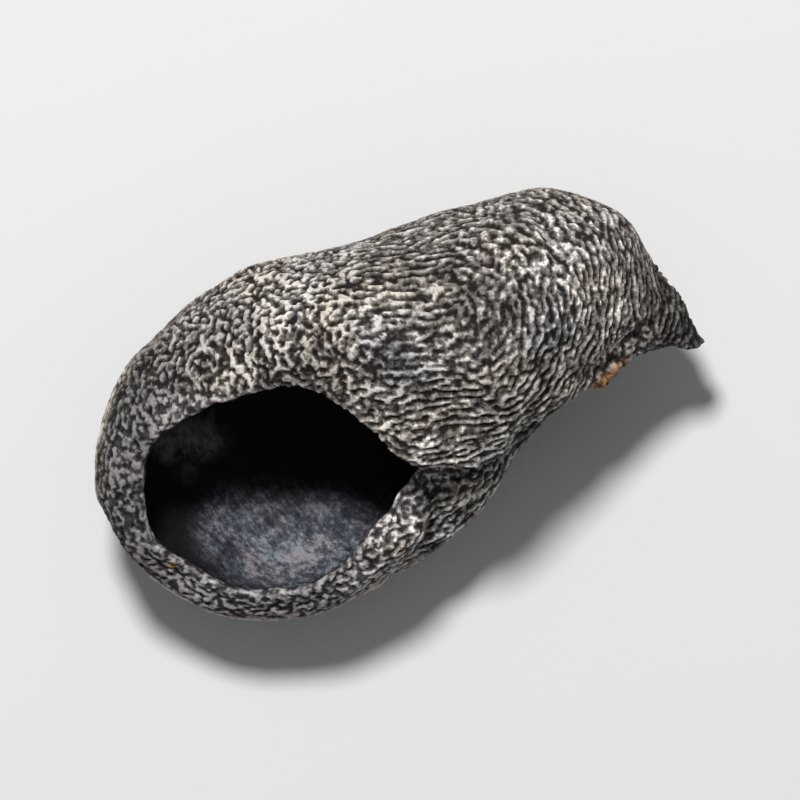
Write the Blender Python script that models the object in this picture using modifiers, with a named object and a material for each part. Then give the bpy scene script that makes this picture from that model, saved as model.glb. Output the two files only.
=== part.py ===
"""A dried wood ear: one whole fruiting body, curled as it dried into a hooded pouch.

The body is one thin sheet of leathery flesh, grown as one piece. Its belly lies
on the surface below, its wall rises all round and rolls inwards, and on the far
side it carries on over the top as a hood that ends in a rounded tongue. At the
right end the sheet narrows to the small stub by which it grew on its branch.
+X runs along the pouch towards the stub, +Y towards the back of the hood.
"""

import bmesh
import bpy
import numpy as np

MM = 0.001

# Driving dimensions, in millimetres. A share is of a length or of a height.
SHEET_THICKNESS = 0.75
THINNEST_SHARE = 0.4
BELLY_CENTRE = (-1.2, -0.8)
BELLY_SINK = 0.35
FOOT_LENGTH = 12.0
FOOT_WIDTH = 8.8
FOOT_START = np.radians(10)
FOOT_SHARE = 0.40
LOW_SHARE = 0.79
LOW_HEIGHT_SHARE = 0.30
TURN_SHARE = np.array([0.29, 0.29, 0.71])
FALL_SHARE = np.array([0.55, 0.55, 0.32])
GROOVE_DROP_SHARE = 0.5
PLEAT_COUNT = 7
PLEAT_DEPTH = 0.5
SWELL_SCALE = 4.5
SWELL_HEIGHT = 0.7
PUCKER_SCALE = 2.4
PUCKER_HEIGHT = 0.35

# How far the foot and the low points are spread evenly round the belly
FOOT_EVENNESS = 0.6
LOW_EVENNESS = 0.12

# Thickness weights: 1 is the full sheet, 0 its thinnest share
BODY_WEIGHT = 1.0
MARGIN_WEIGHT = 0.7
STUB_WEIGHT = 0.0

SUBDIVISIONS = 2
INNER_EASE_STEPS = 8
NEIGHBOUR_PULL = 1 / 6

# The sheet is drawn by spokes that leave the belly and end at the free margin.
# Each has its widest point, its highest point and its end at the margin, then the
# depth of the groove that runs between the widest and the highest points.
SPOKES = {
    "stub": ((14.3, 4.1, 3.4), (15.9, 4.4, 4.3), (17.1, 4.1, 5.1), 0.0),
    "stub_upper": ((16.0, 5.1, 5.4), (16.6, 4.1, 6.7), (16.7, 2.7, 6.4), 0.0),
    "right_low": ((14.9, 6.5, 5.9), (14.5, 4.9, 8.6), (13.9, 2.6, 8.0), 0.0),
    "right_mid": ((13.8, 8.3, 6.6), (12.5, 5.4, 11.2), (10.9, 1.1, 9.2), 0.2),
    "right_shoulder": ((12.3, 10.5, 7.4), (10.3, 5.5, 13.6), (8.8, -0.5, 10.0), 0.0),
    "upper_right": ((9.5, 11.9, 8.0), (8.0, 4.8, 14.9), (6.7, -2.0, 10.8), 0.5),
    "top_right": ((6.1, 11.7, 8.2), (5.4, 4.0, 16.0), (4.6, -3.7, 11.4), 0.0),
    "top": ((2.3, 10.4, 8.2), (2.2, 3.4, 15.6), (1.7, -3.8, 12.2), 0.0),
    "top_left": ((-1.9, 8.9, 8.0), (-1.4, 3.4, 15.9), (-1.1, -2.1, 13.6), 0.2),
    "hood_left": ((-5.8, 8.0, 7.6), (-4.6, 4.0, 15.1), (-4.3, 0.1, 14.4), 0.0),
    "hood_end": ((-9.5, 6.8, 7.2), (-8.1, 3.4, 13.8), (-7.7, 0.5, 13.6), 0.0),
    "left_shoulder": ((-13.0, 4.3, 6.9), (-11.6, 1.5, 12.0), (-11.0, -0.7, 12.4), 0.3),
    "left_end": ((-15.7, 1.0, 6.7), (-14.6, -1.0, 10.6), (-13.7, -2.0, 11.0), 0.0),
    "left_corner": ((-16.7, -3.0, 6.2), (-15.7, -3.6, 9.7), (-14.2, -4.2, 10.3), 0.0),
    "lower_left": ((-16.2, -6.5, 5.8), (-15.2, -6.4, 9.1), (-13.6, -6.0, 9.7), 0.0),
    "lower_left_bend": ((-13.9, -9.7, 5.4), (-13.3, -9.2, 8.2), (-12.1, -8.3, 9.1), 0.0),
    "bottom_left": ((-9.8, -11.8, 4.9), (-9.7, -11.6, 7.0), (-9.4, -10.9, 8.5), 0.0),
    "bottom_right": ((-4.4, -11.8, 4.9), (-4.5, -11.5, 7.2), (-4.9, -10.7, 8.6), 0.2),
    "lower_right": ((0.4, -9.5, 5.6), (-0.4, -8.7, 8.7), (-1.9, -7.8, 9.3), 0.6),
    "lower_right_bend": ((3.4, -7.0, 5.8), (2.1, -6.1, 9.0), (0.1, -5.0, 9.5), 0.7),
    "tongue_foot": ((5.5, -4.6, 5.6), (4.4, -4.0, 8.4), (2.2, -2.8, 9.0), 0.5),
    "right_wall": ((7.2, -1.9, 5.0), (6.4, -1.3, 7.2), (4.9, -0.2, 8.0), 0.0),
    "right_wall_end": ((10.4, 0.9, 4.2), (10.4, 1.2, 5.6), (10.0, 1.8, 6.3), 0.0),
    "stub_lower": ((13.2, 3.1, 3.3), (14.6, 3.1, 3.7), (15.9, 3.0, 4.1), 0.0),
}

# The sheet thins along these spokes, which fold together in the stub
THIN_SPOKES = ("stub", "stub_upper", "stub_lower", "right_wall_end")
FIRST_THIN_STATION = 2

FLESH_COLOUR = (0.16, 0.15, 0.14, 1.0)
FLESH_ROUGHNESS = 0.85


def belly_stations(widest, angle):
    """The foot of a spoke, under the table line, and its low point on the flank."""
    belly = np.array([*BELLY_CENTRE, -BELLY_SINK])
    reach = widest - belly
    even_reach = np.array([FOOT_LENGTH / 2 * np.cos(angle), FOOT_WIDTH / 2 * np.sin(angle), 0]) / FOOT_SHARE
    foot = belly + FOOT_SHARE * (reach + (even_reach - reach) * FOOT_EVENNESS)
    foot[2] = -BELLY_SINK
    low = belly + LOW_SHARE * (reach + (even_reach - reach) * LOW_EVENNESS)
    low[2] = widest[2] * LOW_HEIGHT_SHARE
    return foot, low


def spoke_stations(angle, widest, highest, margin, groove):
    """The points of one spoke, from the foot on the belly to the margin."""
    widest = np.array(widest)
    highest = np.array(highest)
    margin = np.array(margin)
    foot, low = belly_stations(widest, angle)
    inwards = np.array([BELLY_CENTRE[0] - widest[0], BELLY_CENTRE[1] - widest[1], 0.0])
    inwards /= np.linalg.norm(inwards)
    low += inwards * PLEAT_DEPTH * np.cos(PLEAT_COUNT * angle)
    turn = widest + (highest - widest) * TURN_SHARE
    turn += groove * (inwards - np.array([0.0, 0.0, GROOVE_DROP_SHARE]))
    fall = highest + (margin - highest) * FALL_SHARE
    return [foot, low, widest, turn, highest, fall, margin]


def sheet_points():
    """Points the sheet passes through, as an array of spokes by stations."""
    angles = FOOT_START + 2 * np.pi * np.arange(len(SPOKES)) / len(SPOKES)
    return np.array([spoke_stations(angle, *spoke) for angle, spoke in zip(angles, SPOKES.values())])


def cage_points(points):
    """Cage points, set out from the sheet by what subdivision will take off."""
    around = np.roll(points, 1, axis=0) + np.roll(points, -1, axis=0) - 2 * points
    along = np.zeros_like(points)
    along[:, 1:-1] = points[:, 2:] + points[:, :-2] - 2 * points[:, 1:-1]
    return points - (around + along) * NEIGHBOUR_PULL


def sheet_cage():
    """The coarse cage of the sheet, lofted over the spokes and closed on the belly."""
    points = cage_points(sheet_points()) * MM
    spoke_count, station_count = points.shape[:2]
    mesh = bpy.data.meshes.new("wood_ear")
    cage = bmesh.new()
    rings = [[cage.verts.new(points[i, j]) for i in range(spoke_count)] for j in range(station_count)]
    cage.faces.new(rings[0])
    for i in range(spoke_count):
        following = (i + 1) % spoke_count
        for inner, outer in zip(rings, rings[1:]):
            cage.faces.new((inner[i], outer[i], outer[following], inner[following]))
    for face in cage.faces:
        face.smooth = True
    bmesh.ops.reverse_faces(cage, faces=cage.faces)
    cage.to_mesh(mesh)
    cage.free()
    ear = bpy.data.objects.new("wood_ear", mesh)
    thickness = ear.vertex_groups.new(name="thickness")
    for j in range(station_count):
        for i, name in enumerate(SPOKES):
            weight = BODY_WEIGHT
            if j == station_count - 1:
                weight = MARGIN_WEIGHT
            if name in THIN_SPOKES and j >= FIRST_THIN_STATION:
                weight = STUB_WEIGHT
            thickness.add([j * spoke_count + i], weight, "REPLACE")
    return ear


def add_relief(ear, name, scale, height):
    """Soft lumps and hollows over the sheet, as drying leaves them."""
    texture = bpy.data.textures.new(name, "CLOUDS")
    texture.noise_scale = scale * MM
    texture.noise_depth = 1
    relief = ear.modifiers.new(name, "DISPLACE")
    relief.texture = texture
    relief.texture_coords = "LOCAL"
    relief.strength = height * MM
    relief.mid_level = 0.5


def press_flat(ear):
    """Give the ear its finished mesh, with the belly pressed flat where it lies."""
    graph = bpy.context.evaluated_depsgraph_get()
    mesh = bpy.data.meshes.new_from_object(ear.evaluated_get(graph))
    ear.modifiers.clear()
    ear.data = mesh
    body = bmesh.new()
    body.from_mesh(mesh)
    for vertex in body.verts:
        vertex.co.z = max(vertex.co.z, 0.0)
    pressed = [face for face in body.faces if all(vertex.co.z == 0.0 for vertex in face.verts)]
    bmesh.ops.dissolve_faces(body, faces=pressed, use_verts=True)
    body.to_mesh(mesh)
    body.free()
    mesh.shade_smooth()


def flesh_material():
    """Warm grey, matt, leathery flesh."""
    material = bpy.data.materials.new("dried_flesh")
    material.use_nodes = True
    shader = material.node_tree.nodes["Principled BSDF"]
    shader.inputs["Base Color"].default_value = FLESH_COLOUR
    shader.inputs["Roughness"].default_value = FLESH_ROUGHNESS
    shader.inputs["Metallic"].default_value = 0.0
    return material


def build_wood_ear():
    """The whole fruiting body, as one solid."""
    collection = bpy.data.collections.new("Dried wood ear")
    bpy.context.scene.collection.children.link(collection)
    ear = sheet_cage()
    collection.objects.link(ear)
    smooth = ear.modifiers.new("smooth", "SUBSURF")
    smooth.levels = SUBDIVISIONS
    smooth.render_levels = SUBDIVISIONS
    add_relief(ear, "swell", SWELL_SCALE, SWELL_HEIGHT)
    add_relief(ear, "pucker", PUCKER_SCALE, PUCKER_HEIGHT)
    sheet = ear.modifiers.new("sheet", "SOLIDIFY")
    sheet.thickness = SHEET_THICKNESS * MM
    sheet.offset = -1
    sheet.vertex_group = "thickness"
    sheet.thickness_vertex_group = THINNEST_SHARE
    ear.vertex_groups.new(name="inner_face")
    sheet.shell_vertex_group = "inner_face"
    ease = ear.modifiers.new("ease_inner_folds", "SMOOTH")
    ease.vertex_group = "inner_face"
    ease.factor = 0.5
    ease.iterations = INNER_EASE_STEPS
    press_flat(ear)
    ear.data.materials.append(flesh_material())
    return ear


for old_object in list(bpy.data.objects):
    bpy.data.objects.remove(old_object)

build_wood_ear()
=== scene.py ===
import bmesh
import bpy
import numpy as np
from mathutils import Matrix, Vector


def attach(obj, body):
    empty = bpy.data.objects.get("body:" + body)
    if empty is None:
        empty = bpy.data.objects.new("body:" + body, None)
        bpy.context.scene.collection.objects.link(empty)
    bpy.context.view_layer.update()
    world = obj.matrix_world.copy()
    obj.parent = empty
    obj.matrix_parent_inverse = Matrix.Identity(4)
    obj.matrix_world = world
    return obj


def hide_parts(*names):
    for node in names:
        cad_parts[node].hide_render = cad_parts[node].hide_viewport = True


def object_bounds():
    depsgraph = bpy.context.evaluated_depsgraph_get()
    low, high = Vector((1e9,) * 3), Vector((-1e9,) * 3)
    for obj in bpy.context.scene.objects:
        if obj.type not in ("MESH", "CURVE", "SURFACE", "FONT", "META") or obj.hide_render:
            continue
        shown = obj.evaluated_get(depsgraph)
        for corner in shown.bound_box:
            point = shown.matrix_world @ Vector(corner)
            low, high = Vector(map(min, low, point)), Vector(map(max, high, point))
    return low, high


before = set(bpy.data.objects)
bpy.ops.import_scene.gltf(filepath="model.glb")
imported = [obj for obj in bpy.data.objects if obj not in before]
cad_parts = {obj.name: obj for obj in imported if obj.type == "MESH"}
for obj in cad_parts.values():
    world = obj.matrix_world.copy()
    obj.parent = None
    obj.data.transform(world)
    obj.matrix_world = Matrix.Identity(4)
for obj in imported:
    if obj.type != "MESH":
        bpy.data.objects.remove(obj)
cad_low, cad_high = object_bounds()

# ------------------------------------------------------------------ the sheet of flesh
# A wood ear is one thin sheet of leathery flesh, grown as one piece from a stub on its
# branch. It dried curled up on its belly, with its wall rolled in all round and a hood
# that ends in a tongue over the mouth. Its form is drawn by spokes, in millimetres.

MM = 0.001
BELLY_CENTRE = (-1.2, -0.8)
BELLY_SINK = 0.35
FOOT_LENGTH = 12.0
FOOT_WIDTH = 8.8
FOOT_START = np.radians(10)
FOOT_SHARE = 0.40
LOW_SHARE = 0.79
LOW_HEIGHT_SHARE = 0.30
TURN_SHARE = np.array([0.29, 0.29, 0.71])
FALL_SHARE = np.array([0.55, 0.55, 0.32])
GROOVE_DROP_SHARE = 0.5
PLEAT_COUNT = 7
PLEAT_DEPTH = 0.5
FOOT_EVENNESS = 0.6
LOW_EVENNESS = 0.12
NEIGHBOUR_PULL = 1 / 6

# Each spoke: its widest point, its highest point, its end at the margin, and the depth
# of the groove that runs between the first two
SPOKES = {
    "stub": ((14.3, 4.1, 3.4), (15.9, 4.4, 4.3), (17.1, 4.1, 5.1), 0.0),
    "stub_upper": ((16.0, 5.1, 5.4), (16.6, 4.1, 6.7), (16.7, 2.7, 6.4), 0.0),
    "right_low": ((14.9, 6.5, 5.9), (14.5, 4.9, 8.6), (13.9, 2.6, 8.0), 0.0),
    "right_mid": ((13.8, 8.3, 6.6), (12.5, 5.4, 11.2), (10.9, 1.1, 9.2), 0.2),
    "right_shoulder": ((12.3, 10.5, 7.4), (10.3, 5.5, 13.6), (8.8, -0.5, 10.0), 0.0),
    "upper_right": ((9.5, 11.9, 8.0), (8.0, 4.8, 14.9), (6.7, -2.0, 10.8), 0.5),
    "top_right": ((6.1, 11.7, 8.2), (5.4, 4.0, 16.0), (4.6, -3.7, 11.4), 0.0),
    "top": ((2.3, 10.4, 8.2), (2.2, 3.4, 15.6), (1.7, -3.8, 12.2), 0.0),
    "top_left": ((-1.9, 8.9, 8.0), (-1.4, 3.4, 15.9), (-1.1, -2.1, 13.6), 0.2),
    "hood_left": ((-5.8, 8.0, 7.6), (-4.6, 4.0, 15.1), (-4.3, 0.1, 14.4), 0.0),
    "hood_end": ((-9.5, 6.8, 7.2), (-8.1, 3.4, 13.8), (-7.7, 0.5, 13.6), 0.0),
    "left_shoulder": ((-13.0, 4.3, 6.9), (-11.6, 1.5, 12.0), (-11.0, -0.7, 12.4), 0.3),
    "left_end": ((-15.7, 1.0, 6.7), (-14.6, -1.0, 10.6), (-13.7, -2.0, 11.0), 0.0),
    "left_corner": ((-16.7, -3.0, 6.2), (-15.7, -3.6, 9.7), (-14.2, -4.2, 10.3), 0.0),
    "lower_left": ((-16.2, -6.5, 5.8), (-15.2, -6.4, 9.1), (-13.6, -6.0, 9.7), 0.0),
    "lower_left_bend": ((-13.9, -9.7, 5.4), (-13.3, -9.2, 8.2), (-12.1, -8.3, 9.1), 0.0),
    "bottom_left": ((-9.8, -11.8, 4.9), (-9.7, -11.6, 7.0), (-9.4, -10.9, 8.5), 0.0),
    "bottom_right": ((-4.4, -11.8, 4.9), (-4.5, -11.5, 7.2), (-4.9, -10.7, 8.6), 0.2),
    "lower_right": ((0.4, -9.5, 5.6), (-0.4, -8.7, 8.7), (-1.9, -7.8, 9.3), 0.6),
    "lower_right_bend": ((3.4, -7.0, 5.8), (2.1, -6.1, 9.0), (0.1, -5.0, 9.5), 0.7),
    "tongue_foot": ((5.5, -4.6, 5.6), (4.4, -4.0, 8.4), (2.2, -2.8, 9.0), 0.5),
    "right_wall": ((7.2, -1.9, 5.0), (6.4, -1.3, 7.2), (4.9, -0.2, 8.0), 0.0),
    "right_wall_end": ((10.4, 0.9, 4.2), (10.4, 1.2, 5.6), (10.0, 1.8, 6.3), 0.0),
    "stub_lower": ((13.2, 3.1, 3.3), (14.6, 3.1, 3.7), (15.9, 3.0, 4.1), 0.0),
}


def belly_stations(widest, angle):
    """The foot of a spoke, just under the floor, and its low point on the flank."""
    belly = np.array([*BELLY_CENTRE, -BELLY_SINK])
    reach = widest - belly
    even_foot = np.array([FOOT_LENGTH / 2 * np.cos(angle), FOOT_WIDTH / 2 * np.sin(angle), 0])
    to_even = even_foot / FOOT_SHARE - reach
    foot = belly + FOOT_SHARE * (reach + to_even * FOOT_EVENNESS)
    foot[2] = -BELLY_SINK
    low = belly + LOW_SHARE * (reach + to_even * LOW_EVENNESS)
    low[2] = widest[2] * LOW_HEIGHT_SHARE
    return foot, low


def spoke_stations(angle, widest, highest, margin, groove):
    """The points of one spoke, from the foot on the belly to the margin."""
    widest = np.array(widest)
    highest = np.array(highest)
    margin = np.array(margin)
    foot, low = belly_stations(widest, angle)
    inwards = np.array([BELLY_CENTRE[0] - widest[0], BELLY_CENTRE[1] - widest[1], 0.0])
    inwards /= np.linalg.norm(inwards)
    low += inwards * PLEAT_DEPTH * np.cos(PLEAT_COUNT * angle)
    turn = widest + (highest - widest) * TURN_SHARE
    turn += groove * (inwards - np.array([0.0, 0.0, GROOVE_DROP_SHARE]))
    fall = highest + (margin - highest) * FALL_SHARE
    return [foot, low, widest, turn, highest, fall, margin]


def sheet_rings():
    """Cage points, ring by ring, set out by what subdivision will take off."""
    angles = FOOT_START + 2 * np.pi * np.arange(len(SPOKES)) / len(SPOKES)
    spokes = zip(angles, SPOKES.values())
    points = np.array([spoke_stations(angle, *spoke) for angle, spoke in spokes])
    around = np.roll(points, 1, axis=0) + np.roll(points, -1, axis=0) - 2 * points
    along = np.zeros_like(points)
    along[:, 1:-1] = points[:, 2:] + points[:, :-2] - 2 * points[:, 1:-1]
    return (points - (around + along) * NEIGHBOUR_PULL).transpose(1, 0, 2) * MM


def place_ring(ring, points):
    """Move the vertices of one ring of the cage to their points."""
    for vertex, spoke in ring.items():
        vertex.co = points[spoke]


def extruded_ring(piece, ring):
    """Extrude the open edge of the cage, and say which spoke each new vertex is on."""
    cage = bmesh.from_edit_mesh(piece.data)
    bpy.ops.mesh.select_all(action="DESELECT")
    for edge in cage.edges:
        edge.select_set(len(edge.link_faces) == 1)
    bmesh.update_edit_mesh(piece.data)
    bpy.ops.mesh.extrude_edges_move()
    cage = bmesh.from_edit_mesh(piece.data)
    new_ring = {}
    for vertex in cage.verts:
        if vertex.select:
            below = [edge.other_vert(vertex) for edge in vertex.link_edges]
            new_ring[vertex] = next(ring[old] for old in below if not old.select)
    return cage, new_ring


bpy.ops.object.select_all(action="DESELECT")
rings = sheet_rings()
bpy.ops.mesh.primitive_circle_add(vertices=len(SPOKES), radius=FOOT_WIDTH / 2 * MM,
                                  fill_type="NGON")
form = bpy.context.active_object
form.name = "wood_ear_form"
bpy.ops.object.mode_set(mode="EDIT")
cage = bmesh.from_edit_mesh(form.data)
circle = sorted(cage.verts, key=lambda vertex: np.arctan2(vertex.co.y, vertex.co.x) % (2 * np.pi))
ring = {vertex: spoke for spoke, vertex in enumerate(circle)}
place_ring(ring, rings[0])
spoke_of = [ring[vertex] for vertex in cage.verts]
for points in rings[1:]:
    cage, ring = extruded_ring(form, ring)
    place_ring(ring, points)
    spoke_of += [ring[vertex] for vertex in cage.verts if vertex in ring]
    bmesh.update_edit_mesh(form.data)
bpy.ops.mesh.select_all(action="SELECT")
bpy.ops.mesh.normals_make_consistent(inside=False)
bpy.ops.object.mode_set(mode="OBJECT")

# The cage's faces are put in one order, so that each run gives exactly the same skin
cage_points = [vertex.co[:] for vertex in form.data.vertices]
cage_faces = [np.roll(face.vertices, -int(np.argmin(face.vertices))).tolist()
              for face in form.data.polygons]
form.data.clear_geometry()
form.data.from_pydata(cage_points, [], sorted(cage_faces))

SHEET_THICKNESS = 0.75
THINNEST_SHARE = 0.4
FULL_WEIGHT = 1.0
MARGIN_WEIGHT = 0.7
STUB_WEIGHT = 0.0
THIN_SPOKES = ("stub", "stub_upper", "stub_lower", "right_wall_end")
FIRST_THIN_STATION = 2
MARGIN_RAGGEDNESS = (0.0, 0.0, 0.0, 0.0, 0.15, 0.45, 1.0)
INNER_EASE_STEPS = 8

# The size of each kind of lump or tear in the sheet, and how far it moves the sheet
SWELL = (4.5, 0.7)
PUCKER = (2.4, 0.35)
RAGGED = (1.9, 0.75)


def apply_modifier(piece, kind, name, **settings):
    """Add a modifier to a piece with its settings, and apply it."""
    modifier = piece.modifiers.new(name, kind)
    for setting, value in settings.items():
        setattr(modifier, setting, value)
    bpy.ops.object.select_all(action="DESELECT")
    piece.select_set(True)
    bpy.context.view_layer.objects.active = piece
    bpy.ops.object.modifier_apply(modifier=name)


def shift_by_clouds(piece, name, size, strength, cloud_type="GRAYSCALE", **settings):
    """Move a piece's surface in and out by soft clouds of that size."""
    clouds = bpy.data.textures.new(name, "CLOUDS")
    clouds.noise_scale = size * MM
    clouds.noise_depth = 1
    clouds.cloud_type = cloud_type
    apply_modifier(piece, "DISPLACE", name, texture=clouds, texture_coords="LOCAL",
                   strength=strength * MM, mid_level=0.5, **settings)


thickness = form.vertex_groups.new(name="thickness")
along = form.vertex_groups.new(name="along")
margin = form.vertex_groups.new(name="margin")
spoke_names = list(SPOKES)
last_station = len(rings) - 1
for index, spoke in enumerate(spoke_of):
    station = index // len(SPOKES)
    weight = MARGIN_WEIGHT if station == last_station else FULL_WEIGHT
    if spoke_names[spoke] in THIN_SPOKES and station >= FIRST_THIN_STATION:
        weight = STUB_WEIGHT
    thickness.add([index], weight, "REPLACE")
    along.add([index], station / last_station, "REPLACE")
    margin.add([index], MARGIN_RAGGEDNESS[station], "REPLACE")
form.vertex_groups.new(name="inner_face")
form.vertex_groups.new(name="rim")

apply_modifier(form, "SUBSURF", "smooth", levels=2, render_levels=2)
shift_by_clouds(form, "swell", *SWELL)
shift_by_clouds(form, "pucker", *PUCKER)
apply_modifier(form, "SOLIDIFY", "sheet", thickness=SHEET_THICKNESS * MM, offset=-1,
               vertex_group="thickness", thickness_vertex_group=THINNEST_SHARE,
               shell_vertex_group="inner_face", rim_vertex_group="rim")
apply_modifier(form, "SMOOTH", "ease_inner_folds", vertex_group="inner_face", factor=0.5,
               iterations=INNER_EASE_STEPS)
apply_modifier(form, "SUBSURF", "smooth_again", levels=1, render_levels=1)
shift_by_clouds(form, "ragged_margin", *RAGGED, cloud_type="COLOR", direction="RGB_TO_XYZ",
                vertex_group="margin")

# ------------------------------------------------------------------ the skin
# The skin is the same flesh. As the sheet dried it shrank, and its hairy outer face
# crept up into fine ridges that run round the ear, while the inner face stayed smooth.

SKIN_GRAIN = 0.16
PLAIN_SHARE = 0.56
BELLY_TOP = 0.12
LEAST_WEIGHT = 0.01


def copy_zones(piece, source):
    """Give a piece the vertex group weights of the source, from its nearest place."""
    apply_modifier(piece, "DATA_TRANSFER", "zones", object=source, use_vert_data=True,
                   data_types_verts={"VGROUP_WEIGHTS"}, vert_mapping="POLYINTERP_NEAREST")


def zone(piece, name):
    """The weights of one vertex group of a piece, one for each vertex."""
    group = piece.vertex_groups[name].index
    weights = np.zeros(len(piece.data.vertices))
    for vertex in piece.data.vertices:
        for member in vertex.groups:
            if member.group == group:
                weights[vertex.index] = member.weight
    return weights


def vectors(items, name):
    """One vector for each of a mesh's items, such as the place of each vertex."""
    values = np.zeros(len(items) * 3)
    items.foreach_get(name, values)
    return values.reshape(-1, 3)


def move_vertices(mesh, places):
    """Move a mesh's vertices to places in millimetres."""
    mesh.vertices.foreach_set("co", (places * MM).ravel())
    mesh.update()


bpy.ops.object.select_all(action="DESELECT")
form.select_set(True)
bpy.context.view_layer.objects.active = form
bpy.ops.object.duplicate()
ear = bpy.context.active_object
ear.name = "wood_ear_skin"
apply_modifier(ear, "REMESH", "skin_grain", mode="VOXEL", voxel_size=SKIN_GRAIN * MM,
               adaptivity=0.0)
apply_modifier(ear, "SMOOTH", "even_grain", factor=0.5, iterations=2)

# The inner face and the flat of the belly stay plain, so they need fewer faces
copy_zones(ear, form)
plain = ear.vertex_groups.new(name="plain")
lying = vectors(ear.data.vertices, "co")[:, 2] / MM < BELLY_TOP
for index, weight in enumerate(np.where(lying, 1.0, zone(ear, "inner_face"))):
    if weight > LEAST_WEIGHT:
        plain.add([index], weight, "REPLACE")
apply_modifier(ear, "DECIMATE", "plain_faces", ratio=PLAIN_SHARE, vertex_group="plain")
ear.vertex_groups.remove(ear.vertex_groups["plain"])
copy_zones(ear, form)

# Each crease: its line seen from above, its width and its depth
CREASES = {
    "double_wall": (((2.3, -4.4), (2.1, -5.4), (2.0, -6.6), (1.6, -7.9), (0.8, -9.0),
                     (-0.2, -9.9), (-1.4, -10.7)), 0.40, 0.50),
    "back_crease": (((6.9, 11.4), (7.6, 10.2), (8.4, 8.6), (8.8, 7.2), (8.5, 5.6),
                     (8.9, 4.0)), 0.45, 0.35),
    "hood_crease": (((1.2, 8.6), (3.4, 8.4), (5.0, 7.6), (5.9, 6.2)), 0.40, 0.22),
    "hood_dent": (((1.2, 5.0), (2.6, 4.8), (3.8, 4.4)), 1.3, 0.30),
    "chip_edge": (((9.6, 0.9), (11.1, 1.9), (12.3, 3.0), (13.3, 3.8), (14.4, 4.7)), 0.28, 0.45),
    "left_crease": (((-14.8, 2.2), (-12.6, 4.6), (-10.2, 5.6), (-8.2, 5.7)), 0.45, 0.22),
}
CREASE_POINT_GAP = 0.15
CREASE_END = (0.0, 2.0)
CREASE_BOTTOM = (1.5, 3.0)

# Each pull: where it takes hold, how far it reaches, and how far it draws the sheet
PULLS = {
    "tongue_edge": ((0.4, -2.9, 12.8), 2.0, (-0.40, -0.50, 0.0)),
    "chip": ((11.5, 1.4, 8.9), 1.1, (0.10, -0.85, -0.45)),
    "lower_wall": ((4.6, -6.2, 5.8), 2.6, (0.25, -0.2, 0.0)),
    "left_margin": ((-12.7, -7.4, 9.6), 2.6, (-0.75, -0.60, -0.15)),
    "stub_tip": ((17.0, 3.7, 4.8), 0.8, (-0.35, -0.25, 0.0)),
    "stub_corner": ((16.2, 2.9, 4.8), 1.0, (0.15, -0.30, 0.0)),
    "left_side": ((-15.6, -7.9, 5.0), 2.6, (0.42, 0.34, 0.0)),
}


def soft_step(values, low, high):
    """0 below the low value, 1 above the high one, and a soft rise between them."""
    share = np.clip((values - low) / (high - low), 0, 1)
    return share * share * (3 - 2 * share)


def crease_points(line, places):
    """Points along a crease, laid on the top of the skin, and how far each is from an end."""
    line = np.array(line)
    gaps = np.linalg.norm(np.diff(line, axis=0), axis=1)
    reach = np.concatenate([[0], np.cumsum(gaps)])
    stops = np.arange(0, reach[-1], CREASE_POINT_GAP)
    points = np.stack([np.interp(stops, reach, line[:, axis]) for axis in range(2)], axis=1)
    tops = []
    for point in points:
        near = np.linalg.norm(places[:, :2] - point, axis=1) < 2 * CREASE_POINT_GAP
        tops.append(places[near, 2].max())
    return np.column_stack([points, tops]), np.minimum(stops, reach[-1] - stops)


def pressed_creases(places, normals, inner):
    """The skin with its creases pressed into both faces of the sheet."""
    into_sheet = -normals * (1 - 2 * inner)[:, None]
    moved = places.copy()
    for line, width, depth in CREASES.values():
        points, from_end = crease_points(line, places)
        near = np.linalg.norm(places[:, None, :2] - points[None, :, :2], axis=2)
        nearest = near.argmin(axis=1)
        below = points[nearest, 2] - places[:, 2]
        share = np.exp(-(near.min(axis=1) / width) ** 2) * (1 - soft_step(below, *CREASE_BOTTOM))
        share *= soft_step(from_end[nearest], *CREASE_END)
        moved += into_sheet * (depth * share)[:, None]
    return moved


def pulled(places):
    """The skin with the sheet drawn out where it sticks out further."""
    moved = places.copy()
    for hold, reach, shift in PULLS.values():
        share = np.exp(-(np.linalg.norm(places - hold, axis=1) / reach) ** 2)
        moved += np.array(shift) * share[:, None]
    return moved


ear_mesh = ear.data
count = len(ear_mesh.vertices)
along = zone(ear, "along")
inner = zone(ear, "inner_face")
rim = zone(ear, "rim")
outer = inner < 0.5
places = vectors(ear_mesh.vertices, "co") / MM
normals = vectors(ear_mesh.vertex_normals, "vector")
places = pulled(pressed_creases(places, normals, inner))
move_vertices(ear_mesh, places)
normals = vectors(ear_mesh.vertex_normals, "vector")

# The ridges run round the ear, but round the hood's spine on the hood, and lengthwise on
# the stub. Each range is where one gives way to the other
ACROSS_WEIGHT = 0.25
RIDGED_INNER_SHARE = 0.6
UPWARD_ROUNDS = 16
HOOD_SPINE = ((-8.0, 2.2), (2.8, 4.6))
HOOD_RISE = (8.0, 10.5)
HOOD_FRONT = (-3.5, -1.0)
HOOD_SLANT = 0.25
STUB_START = (12.8, 14.6)
RIDGE_SEED = 11
FLOW_SWIRL = 0.50
SWIRL_ROUNDS = 60
TINY = 1e-9


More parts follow.
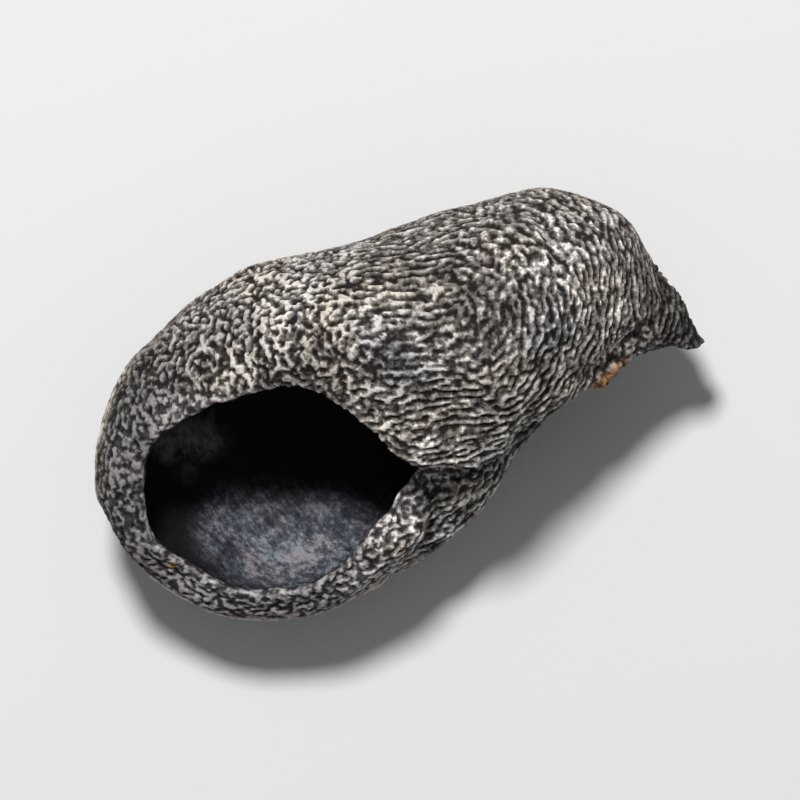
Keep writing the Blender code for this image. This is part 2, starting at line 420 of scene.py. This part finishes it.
def skin_links(mesh, chosen):
    """A table of each chosen vertex's neighbours, filled up with itself, and their weights.

    Those along an edge count fully, and those across a face for a quarter."""
    pairs = np.array([edge.vertices[:] for edge in mesh.edges])
    quads = np.array([face.vertices[:] for face in mesh.polygons if len(face.vertices) == 4])
    crossing = np.concatenate([quads[:, (0, 2)], quads[:, (1, 3)]])
    weight = np.concatenate([np.ones(len(pairs)), np.full(len(crossing), ACROSS_WEIGHT)])
    pairs = np.concatenate([pairs, crossing])
    kept = chosen[pairs].all(axis=1)
    pairs = np.concatenate([pairs[kept], pairs[kept][:, ::-1]])
    weight = np.tile(weight[kept], 2)
    order = np.argsort(pairs[:, 0], kind="stable")
    pairs = pairs[order]
    degree = np.bincount(pairs[:, 0], minlength=len(chosen))
    place = np.arange(len(pairs)) - np.repeat(np.cumsum(degree) - degree, degree)
    table = np.tile(np.arange(len(chosen))[:, None], (1, degree.max()))
    table[pairs[:, 0], place] = pairs[:, 1]
    weights = np.zeros(table.shape)
    weights[pairs[:, 0], place] = weight[order]
    return table, weights


def evened(values, table, weights, rounds):
    """Values on the skin, each round averaged with those next to them by their weights."""
    share = 1 / (1 + weights.sum(axis=1))
    for step in range(rounds):
        if values.ndim == 1:
            values = (values + (values[table] * weights).sum(axis=1)) * share
        else:
            values = (values + (values[table] * weights[:, :, None]).sum(axis=1)) * share[:, None]
    return values


def random_drift(table, weights, rounds):
    """Random values on the skin that change over the further the more rounds they had."""
    values = evened(chance.normal(0, 1, count), table, weights, rounds)
    return values / values.std()


def away_from_line(points, line):
    """The shortest way to each point from a straight line between two ends."""
    start, end = np.array(line)
    length = end - start
    share = np.clip((points - start) @ length / (length ** 2).sum(), 0, 1)
    return points - start - share[:, None] * length


def across_skin(directions):
    """Directions laid into the skin, each with a length of one."""
    directions = directions - normals * (directions * normals).sum(axis=1)[:, None]
    return directions / np.maximum(np.linalg.norm(directions, axis=1, keepdims=True), TINY)


def turned(directions, share, others):
    """Directions turned by a share towards others, whichever way round those point."""
    facing = np.where((directions * others).sum(axis=1) < 0, -1, 1)[:, None]
    return across_skin(directions * (1 - share)[:, None] + others * facing * share[:, None])


chance = np.random.default_rng(RIDGE_SEED)
x, y, z = places.T
table, weights = skin_links(ear_mesh, inner < RIDGED_INNER_SHARE)
apart = places[table] - places[:, None]
rise = (along[table] - along[:, None]) * weights
upward = across_skin(evened((rise[:, :, None] * apart).sum(axis=1), table, weights, UPWARD_ROUNDS))
from_spine = np.zeros_like(places)
from_spine[:, :2] = away_from_line(places[:, :2], HOOD_SPINE)
on_hood = soft_step(z, *HOOD_RISE) * soft_step(y + HOOD_SLANT * x, *HOOD_FRONT)
flow = turned(np.cross(normals, upward), on_hood, np.cross(normals, across_skin(from_spine)))
flow = turned(flow, soft_step(x, *STUB_START), upward)
swirl = FLOW_SWIRL * np.clip(random_drift(table, weights, SWIRL_ROUNDS), -2, 2)[:, None]
flow = flow * np.cos(swirl) + np.cross(normals, flow) * np.sin(swirl)

# The ridges break up into round blobs on the left of the hood and along the lower margin.
# Each range is where such a part begins, in millimetres or as a share of the way from the
# belly to the margin
DRIFT_ROUNDS = 160
SHOULDER_START = (8.2, 9.6)
LEFT_HOOD_START = (-1.5, 5.5)
LEFT_HOOD_WANDER = 1.2
LEFT_HOOD_FRONT = (-1.5, 1.5)
LEFT_HOOD_RISE = (6.0, 10.0)
LOW_LEFT_START = (7.0, 11.0)
LOW_LEFT_SLANT = 0.8
LOW_LEFT_ALONG = (0.38, 0.60)
MARGIN_ALONG = (0.72, 0.9)
TONGUE_START = (-3.0, -1.0)
TONGUE_RISE = (9.6, 10.4)
OFF_SPINE_START = (1.5, 4.5)
BACK_START = (1.0, 4.0)

drift = random_drift(table, weights, DRIFT_ROUNDS)
shoulder = soft_step(x, *SHOULDER_START)
left_hood = soft_step(-x + LEFT_HOOD_WANDER * drift, *LEFT_HOOD_START)
left_hood = left_hood * soft_step(y, *LEFT_HOOD_FRONT) * soft_step(z, *LEFT_HOOD_RISE)
low_left = soft_step(-x - LOW_LEFT_SLANT * y, *LOW_LEFT_START)
margin_band = np.maximum(soft_step(along, *MARGIN_ALONG),
                         low_left * soft_step(along, *LOW_LEFT_ALONG))
off_spine = soft_step(np.linalg.norm(from_spine, axis=1), *OFF_SPINE_START)
on_back = soft_step(y, *BACK_START)
on_tongue = soft_step(x, *TONGUE_START) * soft_step(z, *TONGUE_RISE)
lower_margin = margin_band * (1 - np.maximum(on_hood, on_tongue))
blobby = np.maximum(left_hood, lower_margin)

# How shrinking raises the ridges: their spacing in millimetres, and how strongly they hold
# together lengthwise, break into beads, and catch on snags
RIDGE_STEPS = 170
RIDGE_STEP = 0.045
RIDGE_DRIVE = 0.7
MOST_REACH = 3.0
WAVELENGTH = 0.58
WAVELENGTH_SPREAD = 0.10
MOST_DRIFT = 1.5
SHOULDER_CLOSER = 0.06
LEFT_HOOD_CLOSER = 0.05
LOWER_MARGIN_CLOSER = 0.06
TIES = 0.06
HOOD_SIDE_TIES = 0.16
SHOULDER_TIES = 0.12
BEADING = 0.45
BLOB_BEADING = 0.65
HOOD_SIDE_BEADING = 0.20
SNAG_STRENGTH = 0.20
BLOB_SNAGS = 1.5
SNAG_ROUNDS = 3
BLOB_SNAG_ROUNDS = 1
SIDEWAYS_SHARE = 0.15


def shrink_ridges(flow, wavelength, ties, beading, snags, snag_strength):
    """Ridges that shrinking raises, longer along the flow and held by random snags."""
    length_squared = np.maximum((apart ** 2).sum(axis=2), TINY)
    weight_sum = np.maximum(weights.sum(axis=1), TINY)
    spread_out = np.maximum((length_squared * weights).sum(axis=1) / weight_sum, TINY)
    reach = np.minimum(4 / (spread_out * (2 * np.pi / wavelength) ** 2), MOST_REACH)
    evenly = weights * (reach / weight_sum)[:, None]
    lengthwise = evenly * (apart * flow[:, None]).sum(axis=2) ** 2 / length_squared * ties[:, None]
    evenly = evenly.astype(np.float32)
    lengthwise = lengthwise.astype(np.float32)
    evenly_sum = evenly.sum(axis=1)
    lengthwise_sum = lengthwise.sum(axis=1)
    snags = (np.clip(snags, -2, 2) * weights.any(axis=1)).astype(np.float32)
    ridge = snags / 2
    for step in range(RIDGE_STEPS):
        near = ridge[table]
        spread = ridge + (evenly * near).sum(axis=1) - evenly_sum * ridge
        tied = (lengthwise * near).sum(axis=1) - lengthwise_sum * ridge
        again = spread + (evenly * spread[table]).sum(axis=1) - evenly_sum * spread
        growth = RIDGE_DRIVE * ridge - again + tied + beading * ridge ** 2 - ridge ** 3
        ridge = ridge + RIDGE_STEP * (growth + snag_strength * snags)
    return ridge


wavelength = WAVELENGTH + WAVELENGTH_SPREAD * np.clip(drift, -MOST_DRIFT, MOST_DRIFT) / MOST_DRIFT
wavelength = wavelength - SHOULDER_CLOSER * shoulder - LEFT_HOOD_CLOSER * left_hood
wavelength = wavelength - LOWER_MARGIN_CLOSER * lower_margin
ties = TIES + HOOD_SIDE_TIES * off_spine * on_back + SHOULDER_TIES * shoulder
ties = ties * (1 - blobby)
beading = BEADING + BLOB_BEADING * blobby - HOOD_SIDE_BEADING * off_spine * (1 - blobby) * on_back
lean = np.abs((apart * flow[:, None]).sum(axis=2)) / np.maximum(np.linalg.norm(apart, axis=2), TINY)
loose_snags = chance.normal(0, 1, count)
snags = evened(loose_snags, table, weights * (SIDEWAYS_SHARE + lean ** 4), SNAG_ROUNDS)
loose_snags = evened(loose_snags, table, weights, BLOB_SNAG_ROUNDS)
snags = snags / snags.std() * (1 - blobby) + loose_snags / loose_snags.std() * blobby
ridge = shrink_ridges(flow, wavelength, ties, beading, snags,
                      SNAG_STRENGTH * (1 + BLOB_SNAGS * blobby))

# The crests are rounded and uneven, and lower on the lower margin. A pale line, rubbed
# bare, runs along the left side: the tilt and the share of the way up where it lies
WHOLE_DRIFT_ROUNDS = 80
UNEVEN_ROUNDS = 14
BUMP_ROUNDS = 1
RIDGE_RANGE = 2.5
CREST_POWER = 0.6
UNEVENNESS = 0.2
UNEVEN_LIMITS = (0.3, 1.25)
BUMPINESS = 0.05
RIDGE_DEPTH = 0.26
SUNK_CREST = 0.72
INNER_FLATNESS = 1.7
LOWER_MARGIN_FLATNESS = 0.30
PALE_LINE_FLATNESS = 0.2
PALE_LINE_TILT = (0.14, 0.30)
PALE_LINE_ALONG = (0.42, 0.038)
PALE_LINE_END = (-3.5, -0.5)
PALE_LINE_STRENGTH = 0.85
PALE_LINE_DRIFT = 0.25

all_table, all_weights = skin_links(ear_mesh, np.full(count, True))
drift_all = random_drift(all_table, all_weights, WHOLE_DRIFT_ROUNDS)
unevenness = random_drift(table, weights, UNEVEN_ROUNDS)
bumps = random_drift(table, weights, BUMP_ROUNDS)
ridge_range = RIDGE_RANGE * ridge[outer].std() * 2 ** 0.5
crest = np.clip(0.5 + (ridge - ridge[outer].mean()) / ridge_range, 0, 1) ** CREST_POWER
crest = crest * np.clip(1 + UNEVENNESS * unevenness, *UNEVEN_LIMITS) + BUMPINESS * bumps
tilt = (normals[:, 2] - PALE_LINE_TILT[0]) / PALE_LINE_TILT[1]
off_line = (along - PALE_LINE_ALONG[0]) / PALE_LINE_ALONG[1]
pale_line = np.exp(-tilt ** 2 - off_line ** 2) * low_left * soft_step(-y, *PALE_LINE_END)
pale_line *= np.clip(PALE_LINE_STRENGTH + PALE_LINE_DRIFT * drift_all, 0.3, 1)
depth = RIDGE_DEPTH * np.clip(1 - inner * INNER_FLATNESS, 0, 1)
depth = depth * (1 - LOWER_MARGIN_FLATNESS * lower_margin) * (1 - PALE_LINE_FLATNESS * pale_line)
places = places + normals * (depth * (crest - SUNK_CREST))[:, None]
places = np.clip(places, np.array(cad_low) / MM, np.array(cad_high) / MM)
move_vertices(ear_mesh, places)
ear_mesh.shade_smooth()
bpy.data.objects.remove(form)

# Where the finish changes over the skin. The bloom lies on the pouch's floor, its back edge drawn
# along the hood's shadow, so it is partly painted light; the patch on the left wall is painted
# light, and the bright spot on the floor is a painted highlight. The chip and the specks are bare,
# orange-brown flesh
BLOOM_CENTRE = (-6.4, -7.2, 1.5)
BLOOM_REACH = (5.9, 4.4, 6.5)
BLOOM_FADE = (0.75, 1.15)
BLOOM_SHADOW_LINE = (4.4, 6.0)
PAINTED_SIDE_LIGHT = ((-11.9, -2.5), (2.4, 1.4))
PAINTED_SIDE_LIGHT_FADE = (0.6, 1.1)
PAINTED_SIDE_LIGHT_TOP = (8.5, 10.5)
PAINTED_HIGHLIGHT_SPOT = ((-4.7, -8.8), (1.5, 0.8))
CHIP = ((10.5, 0.35, 8.4), (12.4, 1.6, 8.4))
CHIP_REACH = (0.55, 1.2)
ORANGE_SPECKS = ((-12.6, -9.1), (-12.1, -7.9))
SPECK_REACH = 0.16
# Painted shade: low on the flanks the outer face is painted this much darker, rising to full over
# these heights
LOWEST_PAINTED_SHADE = 0.52
PAINTED_SHADE_RISE = (4.5, 11.5)


def from_above(centre, reach=(1, 1)):
    """How far each place is from a centre, seen from above, in reaches."""
    return np.linalg.norm((places[:, :2] - centre) / reach, axis=1)


def soft_spot(centre, reach):
    """1 at a centre, seen from above, and a soft fall towards 0 past its reach."""
    return np.exp(-from_above(centre, reach) ** 2)


x, y, z = places.T
# The bloom's back edge follows the hood's shadow: painted light on the floor in front of it,
# painted shadow behind it
from_bloom = np.linalg.norm((places - BLOOM_CENTRE) / BLOOM_REACH, axis=1)
lit_bloom = 1 - soft_step(from_bloom + 0.1 * drift_all, *BLOOM_FADE)
lit_bloom *= soft_step(-y + 0.2 * drift_all, *BLOOM_SHADOW_LINE)
# Painted light: a dimly lit patch of the left inner wall, painted paler
painted_side_light = 1 - soft_step(from_above(*PAINTED_SIDE_LIGHT) + 0.1 * drift_all, *PAINTED_SIDE_LIGHT_FADE)
painted_side_light *= 1 - soft_step(z, *PAINTED_SIDE_LIGHT_TOP)
from_chip = away_from_line(places, CHIP)
beside_chip = np.linalg.norm(from_chip[:, :2], axis=1) / CHIP_REACH[0]
above_chip = from_chip[:, 2] / CHIP_REACH[1]
chip = np.exp(-beside_chip ** 4 - above_chip ** 4)
for speck in ORANGE_SPECKS:
    speck_share = np.exp(-(from_above(speck) / SPECK_REACH) ** 4) * (normals[:, 2] > 0) * outer
    chip = np.maximum(chip, speck_share)

# Painted light and shade: how much darker (below 0) or paler (above 0) each part of the outer face
# is painted, darker as shade on the stub, the left side and the left and middle of the hood, paler
# as light on the hood's right, the tongue and the lower right
PAINTED_SHADING = {
    "stub": (-0.55, soft_step(x, 12.0, 15.0)),
    "left_side": (-0.55, soft_step(-x, 11.0, 14.0)),
    "left_hood": (-0.08, left_hood),
    "hood_middle": (-0.15, soft_spot((1.0, 5.0), (3.5, 3.5))),
    "hood_right": (0.58, soft_spot((10.3, 6.5), (3.2, 4.2))),
    "tongue": (0.36, soft_spot((2.2, -1.6), (3.0, 2.4)) * soft_step(z, 9.5, 11.0)),
    "lower_right": (0.62, soft_step(x - 0.25 * y, -1.5, 1.0) * soft_step(-y, 1.5, 3.5)),
}
# Painted shade darker lower down, where less light reaches, then each part's painted light or shade
painted_shading = LOWEST_PAINTED_SHADE + (1 - LOWEST_PAINTED_SHADE) * soft_step(z, *PAINTED_SHADE_RISE)
for change, part in PAINTED_SHADING.values():
    painted_shading *= 1 + change * part

ZONES = {
    "pale_line": pale_line,
    "painted_side_light": painted_side_light,
    "painted_highlight_spot": soft_spot(*PAINTED_HIGHLIGHT_SPOT),
    "dust": lower_margin,
    "painted_shading": painted_shading,
    "chip": chip,
    "ridge": crest,
    "inner": inner,
    "rim": rim,
    "lit_bloom": lit_bloom,
}
for name, values in ZONES.items():
    attribute = ear_mesh.attributes.new(name + "_zone", "FLOAT", "POINT")
    attribute.data.foreach_set("value", values.astype(np.float32))

# ------------------------------------------------------------------ the flesh's finish
# The outer face is matt and warm grey, pale and dusty along its ridges and nearly black
# between them, partly its own colour and partly painted highlight and painted shade. The
# inner face is smooth and blue-black, with painted shadow and painted light, and the bare
# margin is paler.

OUTER_ROUGHNESS = 0.86
INNER_ROUGHNESS = 0.62
SPECULAR = 0.2
GRAIN_STRENGTH = 0.6
GRAIN_HEIGHT = 0.05

flesh = bpy.data.materials.new("dried_flesh")
flesh.use_nodes = True
tree = flesh.node_tree
shader = tree.nodes["Principled BSDF"]
coordinates = tree.nodes.new("ShaderNodeTexCoord").outputs["Object"]


def plug(value, socket):
    """Give a socket a value, or link another node's output to it."""
    if isinstance(value, bpy.types.NodeSocket):
        tree.links.new(value, socket)
    else:
        socket.default_value = value


def sums(operation, *values):
    """A Math node's result."""
    made = tree.nodes.new("ShaderNodeMath")
    made.operation = operation
    for value, socket in zip(values, made.inputs):
        plug(value, socket)
    return made.outputs[0]


def zone_value(name):
    """What the skin's attribute for a zone says at each place."""
    made = tree.nodes.new("ShaderNodeAttribute")
    made.attribute_name = name + "_zone"
    return made.outputs["Fac"]


def speckle(size, detail=2.0, roughness=0.55, offset=(0.0, 0.0, 0.0), length=1.0, turn=0.0):
    """Noise whose spots are of that size in millimetres, and drawn out at a turn to X."""
    mapping = tree.nodes.new("ShaderNodeMapping")
    plug(coordinates, mapping.inputs["Vector"])
    mapping.vector_type = "TEXTURE"
    mapping.inputs["Scale"].default_value = (size * length * MM, size * MM, size * MM)
    mapping.inputs["Rotation"].default_value = (0.0, 0.0, turn)
    mapping.inputs["Location"].default_value = [place * size * MM for place in offset]
    noise = tree.nodes.new("ShaderNodeTexNoise")
    plug(mapping.outputs[0], noise.inputs["Vector"])
    noise.inputs["Scale"].default_value = 1.0
    noise.inputs["Detail"].default_value = detail
    noise.inputs["Roughness"].default_value = roughness
    return noise.outputs["Fac"]


def stirred(value, noise, strength):
    """A value with noise added to it, up and down by a strength."""
    return sums("ADD", value, sums("MULTIPLY", sums("SUBTRACT", noise, 0.5), strength))


def graded(value, *stops):
    """A colour ramp through the stops, each a position and a colour."""
    made = tree.nodes.new("ShaderNodeValToRGB")
    ramp = made.color_ramp
    while len(ramp.elements) < len(stops):
        ramp.elements.new(0.5)
    for element, (position, colour) in zip(ramp.elements, stops):
        element.position = position
        element.color = (*colour, 1.0)
    plug(value, made.inputs["Fac"])
    return made.outputs["Color"]


def between(value, low, high):
    """The value mapped so that low gives 0 and high gives 1, smoothly."""
    made = tree.nodes.new("ShaderNodeMapRange")
    made.interpolation_type = "SMOOTHSTEP"
    plug(value, made.inputs["Value"])
    made.inputs["From Min"].default_value = low
    made.inputs["From Max"].default_value = high
    return made.outputs["Result"]


def blended(share, first, second, mode="MIX"):
    """Two colours mixed by a share."""
    made = tree.nodes.new("ShaderNodeMix")
    made.data_type = "RGBA"
    made.blend_type = mode
    plug(share, made.inputs["Factor"])
    colours = [socket for socket in made.inputs if socket.type == "RGBA"]
    for value, socket in zip((first, second), colours):
        plug(value, socket)
    return next(socket for socket in made.outputs if socket.type == "RGBA")


def tinted(colour, tint):
    """A colour multiplied by a tint."""
    return blended(1.0, colour, tint, mode="MULTIPLY")


# The outer face: pale ridges over dark valleys, partly their own colour and partly painted
# highlight on the crests and painted shade in the valleys, with patches of grey and of warmth
fine = speckle(0.22, detail=3.0)
beads = speckle(0.42, detail=1.0, offset=(5.0, 1.0, 8.0))
dusting = speckle(0.95, detail=2.0, offset=(3.0, 8.0, 2.0))
mottle = stirred(zone_value("ridge"), fine, 0.7)
mottle = stirred(mottle, beads, 0.6)
mottle = stirred(mottle, dusting, 0.7)
valley_colour_and_shade = graded(speckle(1.6, detail=2.0, offset=(2.0, 9.0, 4.0)),
                       (0.42, (0.010, 0.010, 0.011)), (0.68, (0.022, 0.014, 0.010)))
ridge_colour_and_highlight = graded(mottle, (0.45, (0.055, 0.049, 0.044)), (0.72, (0.19, 0.178, 0.165)),
                      (0.92, (0.43, 0.41, 0.385)), (0.9565, (0.66, 0.63, 0.60)))
outer_colour = blended(between(mottle, 0.28, 0.58), valley_colour_and_shade, ridge_colour_and_highlight)
patch_shade = graded(speckle(3.0, detail=2.0), (0.30, (0.62, 0.61, 0.62)),
                     (0.70, (1.15, 1.13, 1.10)))
outer_colour = tinted(outer_colour, patch_shade)
warm_shade = graded(speckle(5.0, detail=1.0, offset=(7.0, 3.0, 1.0)),
                    (0.35, (0.97, 0.99, 1.03)), (0.65, (1.05, 1.0, 0.93)))
outer_colour = tinted(outer_colour, warm_shade)

# Each part's painted light and shade, the cooler dust of the lower margin, and the pale line
painted_shading_grey = tree.nodes.new("ShaderNodeCombineXYZ")
for socket in painted_shading_grey.inputs:
    plug(zone_value("painted_shading"), socket)
outer_colour = tinted(outer_colour, painted_shading_grey.outputs[0])
# The dust and the pale line are also paler on the crests and darker in the valleys: partly their
# own colour, partly painted highlight and painted shade
crest_share = between(mottle, 0.10, 1.15)
cool_dust = graded(crest_share, (0.0, (0.012, 0.011, 0.011)), (0.5, (0.14, 0.129, 0.127)),
                   (1.0, (0.60, 0.555, 0.545)))
cool_dust = tinted(cool_dust, painted_shading_grey.outputs[0])
outer_colour = blended(sums("MULTIPLY", zone_value("dust"), 0.85), outer_colour, cool_dust)
grain_shade = graded(fine, (0.36, (0.74, 0.74, 0.74)), (0.64, (1.22, 1.22, 1.22)))
outer_colour = tinted(outer_colour, grain_shade)
pale_line_colour = graded(crest_share, (0.10, (0.040, 0.034, 0.029)),
                          (0.40, (0.33, 0.28, 0.235)), (0.75, (0.80, 0.71, 0.61)))
outer_colour = blended(sums("MULTIPLY", zone_value("pale_line"), 0.9), outer_colour,
                       pale_line_colour)

# The inner face: its own blue-black, painted nearly black as shadow where the hood and margins
# shade it, with a fibrous blue-grey bloom painted only where light reaches the floor, and a
# brownish patch of painted light on the left wall
fibres = speckle(0.22, detail=3.0, roughness=0.6, length=4.0, turn=np.radians(-50))
inner_mottle = stirred(speckle(0.6, detail=6.0, roughness=0.8), fibres, 0.45)
inner_mottle = stirred(inner_mottle, speckle(2.6, detail=1.0, offset=(3.0, 6.0, 2.0)), 0.40)
# Painted highlight: a paler spot on the pouch's floor
inner_mottle = sums("ADD", inner_mottle, sums("MULTIPLY", zone_value("painted_highlight_spot"), 0.10))
# Painted shadow: out of the bloom the inner face is painted darker than its own blue-black
inner_dark_and_shadow = graded(inner_mottle, (0.30, (0.003, 0.003, 0.004)), (0.70, (0.011, 0.011, 0.013)))
inner_side_lit_colour = graded(inner_mottle, (0.35, (0.03, 0.028, 0.026)), (0.65, (0.30, 0.275, 0.25)))
inner_dark_and_shadow = blended(zone_value("painted_side_light"), inner_dark_and_shadow, inner_side_lit_colour)
inner_bloom = graded(inner_mottle, (0.34, (0.012, 0.013, 0.020)), (0.50, (0.061, 0.063, 0.074)),
                     (0.66, (0.24, 0.24, 0.253)))
bloom_tint = graded(speckle(1.8, detail=1.0, offset=(1.0, 4.0, 9.0)),
                    (0.40, (0.94, 1.0, 1.08)), (0.60, (1.06, 0.99, 1.02)))
inner_colour = blended(zone_value("lit_bloom"), inner_dark_and_shadow, tinted(inner_bloom, bloom_tint))

# Both faces together, the margin between them, and the chip and specks
face_share = between(zone_value("inner"), 0.35, 0.75)
flesh_colour = blended(face_share, outer_colour, inner_colour)
rim_colour = graded(beads, (0.40, (0.040, 0.036, 0.038)), (0.52, (0.20, 0.19, 0.19)),
                    (0.64, (0.60, 0.585, 0.58)))
flesh_colour = blended(sums("MULTIPLY", zone_value("rim"), 0.6), flesh_colour, rim_colour)
chip_colour = graded(speckle(0.5, detail=3.0), (0.35, (0.05, 0.016, 0.008)),
                     (0.48, (0.28, 0.11, 0.030)), (0.62, (0.66, 0.38, 0.13)))
flesh_colour = blended(zone_value("chip"), flesh_colour, chip_colour)
plug(flesh_colour, shader.inputs["Base Color"])

smoother = sums("MULTIPLY", face_share, OUTER_ROUGHNESS - INNER_ROUGHNESS)
plug(sums("SUBTRACT", OUTER_ROUGHNESS, smoother), shader.inputs["Roughness"])
shader.inputs["Specular IOR Level"].default_value = SPECULAR
grain = tree.nodes.new("ShaderNodeBump")
grain.inputs["Strength"].default_value = GRAIN_STRENGTH
grain.inputs["Distance"].default_value = GRAIN_HEIGHT * MM
grain_height = sums("ADD", speckle(0.09, detail=3.0), sums("MULTIPLY", fine, 1.5))
plug(grain_height, grain.inputs["Height"])
plug(grain.outputs["Normal"], shader.inputs["Normal"])

ear.data.materials.clear()
ear.data.materials.append(flesh)
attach(ear, "root")
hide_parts("wood_ear")

# ------------------------------------------------------------------ floor, light and camera
# The ear lies on a plain pale floor, under one large, soft lamp behind it and a dim, even
# sky. The camera looks straight down on it through a long lens, as the photograph does.

FLOOR_SIZE = 2
FLOOR_COLOUR = (0.70, 0.70, 0.695, 1)
FLOOR_ROUGHNESS = 0.9
LAMP_DIRECTION = (-0.20, 0.68, 1.30)
LAMP_DISTANCE = 0.5
LAMP_SIZE = 0.09
LAMP_POWER = 2.7
SKY_COLOUR = (0.95, 0.97, 1.0, 1)
SKY_STRENGTH = 0.22
CAMERA_HEIGHT = 0.45
CAMERA_LENS = 360

bpy.ops.mesh.primitive_plane_add(size=FLOOR_SIZE)
floor = bpy.context.active_object
floor.name = "floor"
pale = bpy.data.materials.new("floor")
pale.use_nodes = True
pale_inputs = pale.node_tree.nodes["Principled BSDF"].inputs
pale_inputs["Base Color"].default_value = FLOOR_COLOUR
pale_inputs["Roughness"].default_value = FLOOR_ROUGHNESS
floor.data.materials.append(pale)

lamp_place = Vector(LAMP_DIRECTION).normalized() * LAMP_DISTANCE
bpy.ops.object.light_add(type="AREA", location=lamp_place)
lamp = bpy.context.active_object
lamp.data.shape = "DISK"
lamp.data.size = LAMP_SIZE
lamp.data.energy = LAMP_POWER
lamp.rotation_euler = lamp_place.to_track_quat("Z", "Y").to_euler()

sky = bpy.data.worlds.new("studio")
sky.use_nodes = True
sky_inputs = sky.node_tree.nodes["Background"].inputs
sky_inputs["Color"].default_value = SKY_COLOUR
sky_inputs["Strength"].default_value = SKY_STRENGTH
bpy.context.scene.world = sky

bpy.ops.object.camera_add(location=(0, 0, CAMERA_HEIGHT), rotation=(0, 0, 0))
camera = bpy.context.active_object
camera.data.lens = CAMERA_LENS
bpy.context.scene.camera = camera
bpy.context.scene.view_settings.view_transform = "Standard"
